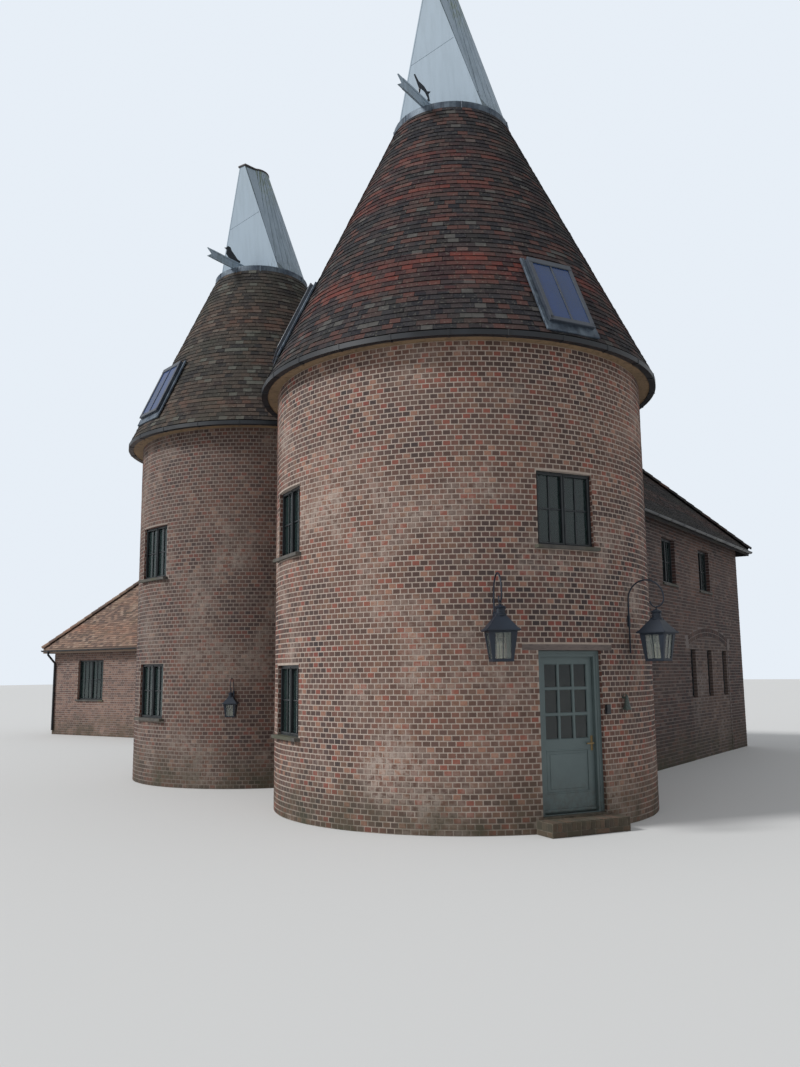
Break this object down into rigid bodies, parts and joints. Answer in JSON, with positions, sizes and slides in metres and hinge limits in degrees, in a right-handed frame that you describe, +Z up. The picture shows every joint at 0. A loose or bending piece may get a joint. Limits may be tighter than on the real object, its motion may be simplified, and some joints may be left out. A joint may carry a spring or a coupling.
{
  "type": "oast house",
  "caption": "Converted hop kiln house: round brick kilns with cone roofs and turning white cowls, a hipped brick barn and a low wing, with a hinged entrance door.",
  "frame": {"origin": "on the main kiln's axis, on the underside of its ground floor slab", "axes": "+Z up, +Y along the barn away from the kilns, +X out of the barn's long visible wall"},
  "size_m": [26.2146, 17.5849, 14.3187],
  "materials": {
    "concrete_floor": "trowelled concrete, dull",
    "floor_timber": "sawn boards",
    "kiln_brick": "mixed red, brown and purple bricks in header bond, pale lime joints",
    "barn_brick": "darker mixed bricks, pale joints",
    "wing_brick": "pale pink-brown bricks",
    "kiln_tile": "plain clay tiles, weathered",
    "barn_tile": "plain clay tiles, dark",
    "wing_tile": "plain clay tiles, pale",
    "eaves_timber": "sawn timber, aged",
    "black_gutter": "satin black paint",
    "lead_sheet": "dull blue-grey lead sheet",
    "dark_joinery": "near-black paint, satin",
    "clear_glass": "clear",
    "sill": "worn stone",
    "roof_window_metal": "dark grey, satin",
    "door_paint": "sage grey-green paint, satin",
    "hinge_steel": "painted over with the door",
    "handle_brass": "aged brass",
    "weathered_timber": "bare weathered oak",
    "step_brick": "worn brick and stone",
    "lantern_metal": "blue-black paint",
    "cowl_paint": "white painted boards, weathered"
  },
  "bodies": {
    "house": {"barn_arch": "barn_brick", "barn_arch_infill": "barn_brick", "barn_roof": "barn_tile", "barn_wall_back": "barn_brick", "barn_wall_front": "barn_brick", "barn_wall_left": "barn_brick", "barn_wall_right": "barn_brick", "door_fittings": "lantern_metal", "door_frame": "door_paint", "door_hinge_pins": "hinge_steel", "door_lintel": "weathered_timber", "door_step": "step_brick", "ground_floors": "concrete_floor", "gutters": "black_gutter", "kiln_cross_beams": "eaves_timber", "kiln_curbs": "lead_sheet", "kiln_eaves": "eaves_timber", "kiln_gutters": "black_gutter", "kiln_window_sills": "sill", "lantern_brackets": "lantern_metal", "lantern_frames": "lantern_metal", "lantern_glass": "clear_glass", "left_kiln_roof": "kiln_tile", "left_kiln_wall_back": "kiln_brick", "left_kiln_wall_front": "kiln_brick", "left_kiln_wall_left": "kiln_brick", "main_kiln_door_piers": "kiln_brick", "main_kiln_roof": "kiln_tile", "main_kiln_wall_back": "kiln_brick", "main_kiln_wall_front": "kiln_brick", "main_kiln_wall_over_door": "kiln_brick", "main_kiln_wall_right": "kiln_brick", "skylight_frames": "roof_window_metal", "skylight_glass": "clear_glass", "upper_floors": "floor_timber", "wall_window_sills": "sill", "window_frames": "dark_joinery", "window_glass": "clear_glass", "wing_downpipe": "black_gutter", "wing_roof": "wing_tile", "wing_wall_back": "wing_brick", "wing_wall_end": "wing_brick", "wing_wall_front": "wing_brick"},
    "front_door": {"door_leaf": "door_paint", "door_glass": "clear_glass", "door_handle": "handle_brass", "door_hinge_plates": "hinge_steel"},
    "main_cowl": {"main_cowl_lid": "cowl_paint", "main_cowl_panel": "cowl_paint", "main_cowl_post": "eaves_timber", "main_cowl_shell": "cowl_paint", "main_cowl_vane": "cowl_paint"},
    "left_cowl": {"left_cowl_lid": "cowl_paint", "left_cowl_panel": "cowl_paint", "left_cowl_post": "eaves_timber", "left_cowl_shell": "cowl_paint", "left_cowl_vane": "cowl_paint"}
  },
  "joints": [
    {"name": "front_door_hinge", "type": "hinge", "parent": "house", "child": "front_door", "pos_m": [2.21791, -1.80186, 1.25], "axis": [0, 0, 1], "range_deg": [0, 90]},
    {"name": "main_cowl_turn", "type": "hinge", "parent": "house", "child": "main_cowl", "pos_m": [0, 0, 11], "axis": [0, 0, 1], "continuous": true},
    {"name": "left_cowl_turn", "type": "hinge", "parent": "house", "child": "left_cowl", "pos_m": [-6.03, 1.6, 10], "axis": [0, 0, 1], "continuous": true}
  ]
}
